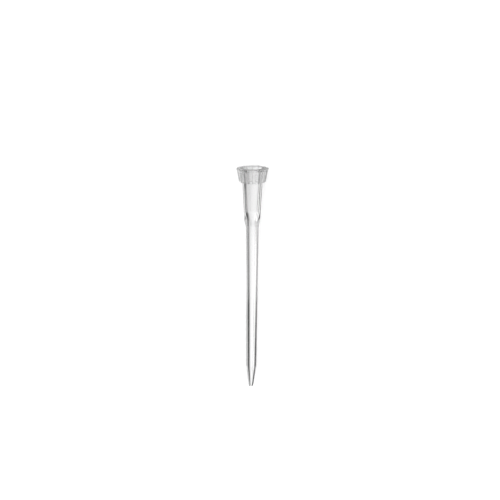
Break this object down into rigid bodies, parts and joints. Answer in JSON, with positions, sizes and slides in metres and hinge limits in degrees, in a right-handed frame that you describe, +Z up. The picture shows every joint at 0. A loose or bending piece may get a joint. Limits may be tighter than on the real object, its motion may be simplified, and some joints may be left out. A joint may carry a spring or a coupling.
{
  "type": "pipette tip",
  "caption": "Long clear pipette tip with a ribbed, flared collar, a tapered socket, a slim hollow shaft and a narrow point, lying on its side.",
  "frame": {"origin": "on the ground, under the middle of the tip's bounding box", "axes": "+Y along the tip towards its open collar, +Z up, the tip lying on two collar ribs and the end of its shaft"},
  "size_m": [0.0066, 0.0462, 0.0065],
  "materials": {
    "clear_plastic": "clear, smooth moulded polypropylene, very slightly milky in the socket"
  },
  "bodies": {
    "root": {"pipette_tip": "clear_plastic"}
  },
  "joints": []
}
